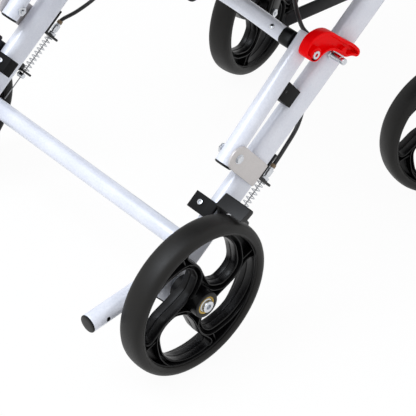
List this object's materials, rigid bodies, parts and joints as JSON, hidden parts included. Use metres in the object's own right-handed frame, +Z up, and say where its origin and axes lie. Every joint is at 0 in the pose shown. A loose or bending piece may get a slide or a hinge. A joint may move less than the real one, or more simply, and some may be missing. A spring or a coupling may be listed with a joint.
{
  "type": "folding wheelchair",
  "caption": "Attendant-pushed folding wheelchair with small wheels, hinged back, flip-up footplates, hook latches and cable brakes.",
  "frame": {"origin": "on the floor, in the middle of the chair's length and width", "axes": "+Z up; the chair faces -Y, so its push handles are at +Y; its right-hand side is at -X"},
  "size_m": [0.525, 1.046, 0.915],
  "materials": {
    "frame_silver": "pearl silver powder coat on aluminium tube",
    "plate_grey": "warm grey satin plate",
    "black_steel": "satin black paint on pressed steel",
    "zinc_steel": "bright zinc plate",
    "black_plastic": "moulded black nylon",
    "red_plastic": "moulded red, slightly glossy",
    "tyre_grey": "solid dark grey polyurethane",
    "grip_rubber": "soft black rubber",
    "cable_black": "smooth black cable sheath",
    "seat_cloth": "black woven nylon over foam"
  },
  "bodies": {
    "rear_frame": {"rear_leg_right": "frame_silver", "rear_leg_left": "frame_silver", "rear_crossbar": "frame_silver", "pivot_bracket_right": "plate_grey", "pivot_bracket_left": "plate_grey", "saddle_clip_right": "black_plastic", "saddle_clip_left": "black_plastic", "rear_right_axle": "zinc_steel", "rear_left_axle": "zinc_steel", "brake_mount_right": "black_steel", "brake_mount_left": "black_steel", "cable_stop_right": "black_steel", "cable_stop_left": "black_steel", "brake_spring_right": "zinc_steel", "brake_spring_left": "zinc_steel", "brake_cable_lower_right": "cable_black", "brake_cable_lower_left": "cable_black"},
    "rear_wheel_right": {"rear_right_wheel": "black_plastic", "rear_right_tyre": "tyre_grey"},
    "rear_wheel_left": {"rear_left_wheel": "black_plastic", "rear_left_tyre": "tyre_grey"},
    "brake_right": {"brake_arm_right": "black_steel"},
    "brake_left": {"brake_arm_left": "black_steel"},
    "lock_frame": {"lock_tube_right": "frame_silver", "lock_tube_left": "frame_silver", "lock_cross_tube": "frame_silver"},
    "latch_right": {"latch_lever_right": "red_plastic"},
    "latch_left": {"latch_lever_left": "red_plastic"},
    "front_frame": {"side_frame_right": "frame_silver", "side_frame_left": "frame_silver", "front_cross_tube": "frame_silver", "seat_cushion": "seat_cloth", "footrest_hanger_right": "frame_silver", "footrest_hanger_left": "frame_silver", "brake_cable_upper_right": "cable_black", "brake_cable_upper_left": "cable_black"},
    "fold_links": {"fold_link_right": "black_steel", "fold_link_left": "black_steel"},
    "caster_fork_right": {"front_right_fork": "black_plastic"},
    "caster_fork_left": {"front_left_fork": "black_plastic"},
    "caster_wheel_right": {"front_right_wheel": "black_plastic", "front_right_tyre": "tyre_grey"},
    "caster_wheel_left": {"front_left_wheel": "black_plastic", "front_left_tyre": "tyre_grey"},
    "footrest_right": {"footplate_right": "black_plastic"},
    "footrest_left": {"footplate_left": "black_plastic"},
    "back_frame": {"back_post_right": "frame_silver", "back_post_left": "frame_silver", "backrest": "seat_cloth", "push_grip_right": "grip_rubber", "push_grip_left": "grip_rubber"},
    "hand_lever_right": {"brake_lever_right": "black_plastic"},
    "hand_lever_left": {"brake_lever_left": "black_plastic"},
    "armrest_right": {"armrest_bar_right": "frame_silver", "armrest_pad_right": "grip_rubber"},
    "armrest_left": {"armrest_bar_left": "frame_silver", "armrest_pad_left": "grip_rubber"},
    "strut_right": {"armrest_strut_right": "frame_silver"},
    "strut_left": {"armrest_strut_left": "frame_silver"}
  },
  "joints": [
    {"name": "front_fold", "type": "hinge", "parent": "rear_frame", "child": "front_frame", "pos_m": [0, -0.04591, 0.4461], "axis": [1, 0, 0], "range_deg": [0, 42], "deforming": ["brake_cable_lower_right", "brake_cable_lower_left"]},
    {"name": "lock_swing", "type": "hinge", "parent": "rear_frame", "child": "lock_frame", "pos_m": [0, 0.23779, 0.24054], "axis": [1, 0, 0], "range_deg": [-36.3, 0]},
    {"name": "link_swing", "type": "hinge", "parent": "front_frame", "child": "fold_links", "pos_m": [0, -0.18177, 0.353], "axis": [1, 0, 0], "range_deg": [-22, 0]},
    {"name": "latch_right_turn", "type": "hinge", "parent": "lock_frame", "child": "latch_right", "pos_m": [-0.201, 0.14278, 0.34607], "axis": [1, 0, 0], "range_deg": [-60, 0]},
    {"name": "latch_left_turn", "type": "hinge", "parent": "lock_frame", "child": "latch_left", "pos_m": [0.201, 0.14278, 0.34607], "axis": [1, 0, 0], "range_deg": [-60, 0]},
    {"name": "rear_wheel_right_spin", "type": "hinge", "parent": "rear_frame", "child": "rear_wheel_right", "pos_m": [-0.229, 0.315, 0.1], "axis": [1, 0, 0], "continuous": true},
    {"name": "rear_wheel_left_spin", "type": "hinge", "parent": "rear_frame", "child": "rear_wheel_left", "pos_m": [0.229, 0.315, 0.1], "axis": [1, 0, 0], "continuous": true},
    {"name": "caster_right_swivel", "type": "hinge", "parent": "front_frame", "child": "caster_fork_right", "pos_m": [-0.1895, -0.227, 0.2], "axis": [0, 0, 1], "continuous": true},
    {"name": "caster_left_swivel", "type": "hinge", "parent": "front_frame", "child": "caster_fork_left", "pos_m": [0.1895, -0.227, 0.2], "axis": [0, 0, 1], "continuous": true},
    {"name": "caster_right_spin", "type": "hinge", "parent": "caster_fork_right", "child": "caster_wheel_right", "pos_m": [-0.17693, -0.18483, 0.1], "axis": [-0.9583, 0.2857, 0], "continuous": true},
    {"name": "caster_left_spin", "type": "hinge", "parent": "caster_fork_left", "child": "caster_wheel_left", "pos_m": [0.17975, -0.18409, 0.1], "axis": [0.9751, 0.2215, 0], "continuous": true},
    {"name": "footplate_right_flip", "type": "hinge", "parent": "front_frame", "child": "footrest_right", "pos_m": [-0.165, -0.453, 0.15], "axis": [0, -1, 0], "range_deg": [0, 90]},
    {"name": "footplate_left_flip", "type": "hinge", "parent": "front_frame", "child": "footrest_left", "pos_m": [0.165, -0.453, 0.15], "axis": [0, 1, 0], "range_deg": [0, 90]},
    {"name": "back_fold", "type": "hinge", "parent": "front_frame", "child": "back_frame", "pos_m": [0, 0.315, 0.505], "axis": [1, 0, 0], "range_deg": [0, 80], "deforming": ["brake_cable_upper_right", "brake_cable_upper_left"]},
    {"name": "armrest_right_turn", "type": "hinge", "parent": "back_frame", "child": "armrest_right", "pos_m": [-0.2255, 0.35181, 0.71378], "axis": [1, 0, 0], "range_deg": [-80, 0]},
    {"name": "armrest_left_turn", "type": "hinge", "parent": "back_frame", "child": "armrest_left", "pos_m": [0.2255, 0.35181, 0.71378], "axis": [1, 0, 0], "range_deg": [-80, 0]},
    {"name": "strut_right_turn", "type": "hinge", "parent": "front_frame", "child": "strut_right", "pos_m": [-0.214, 0.015, 0.505], "axis": [1, 0, 0], "range_deg": [0, 80]},
    {"name": "strut_left_turn", "type": "hinge", "parent": "front_frame", "child": "strut_left", "pos_m": [0.214, 0.015, 0.505], "axis": [1, 0, 0], "range_deg": [0, 80]},
    {"name": "hand_lever_right_pull", "type": "hinge", "parent": "back_frame", "child": "hand_lever_right", "pos_m": [-0.214, 0.421, 0.87892], "axis": [1, 0, 0], "range_deg": [0, 14]},
    {"name": "hand_lever_left_pull", "type": "hinge", "parent": "back_frame", "child": "hand_lever_left", "pos_m": [0.214, 0.421, 0.87892], "axis": [1, 0, 0], "range_deg": [0, 14]},
    {"name": "brake_right_press", "type": "hinge", "parent": "rear_frame", "child": "brake_right", "pos_m": [-0.2, 0.24926, 0.16581], "axis": [1, 0, 0], "range_deg": [-3.2, 0], "deforming": ["brake_spring_right"]},
    {"name": "brake_left_press", "type": "hinge", "parent": "rear_frame", "child": "brake_left", "pos_m": [0.2, 0.24926, 0.16581], "axis": [1, 0, 0], "range_deg": [-3.2, 0], "deforming": ["brake_spring_left"]}
  ],
  "couplings": [
    {"joint": "lock_swing", "follows": "front_fold", "ratio": -0.86},
    {"joint": "link_swing", "follows": "front_fold", "ratio": -0.52},
    {"joint": "armrest_right_turn", "follows": "back_fold", "ratio": -1},
    {"joint": "armrest_left_turn", "follows": "back_fold", "ratio": -1},
    {"joint": "strut_right_turn", "follows": "back_fold", "ratio": 1},
    {"joint": "strut_left_turn", "follows": "back_fold", "ratio": 1},
    {"joint": "brake_right_press", "follows": "hand_lever_right_pull", "ratio": -0.228},
    {"joint": "brake_left_press", "follows": "hand_lever_left_pull", "ratio": -0.228}
  ]
}
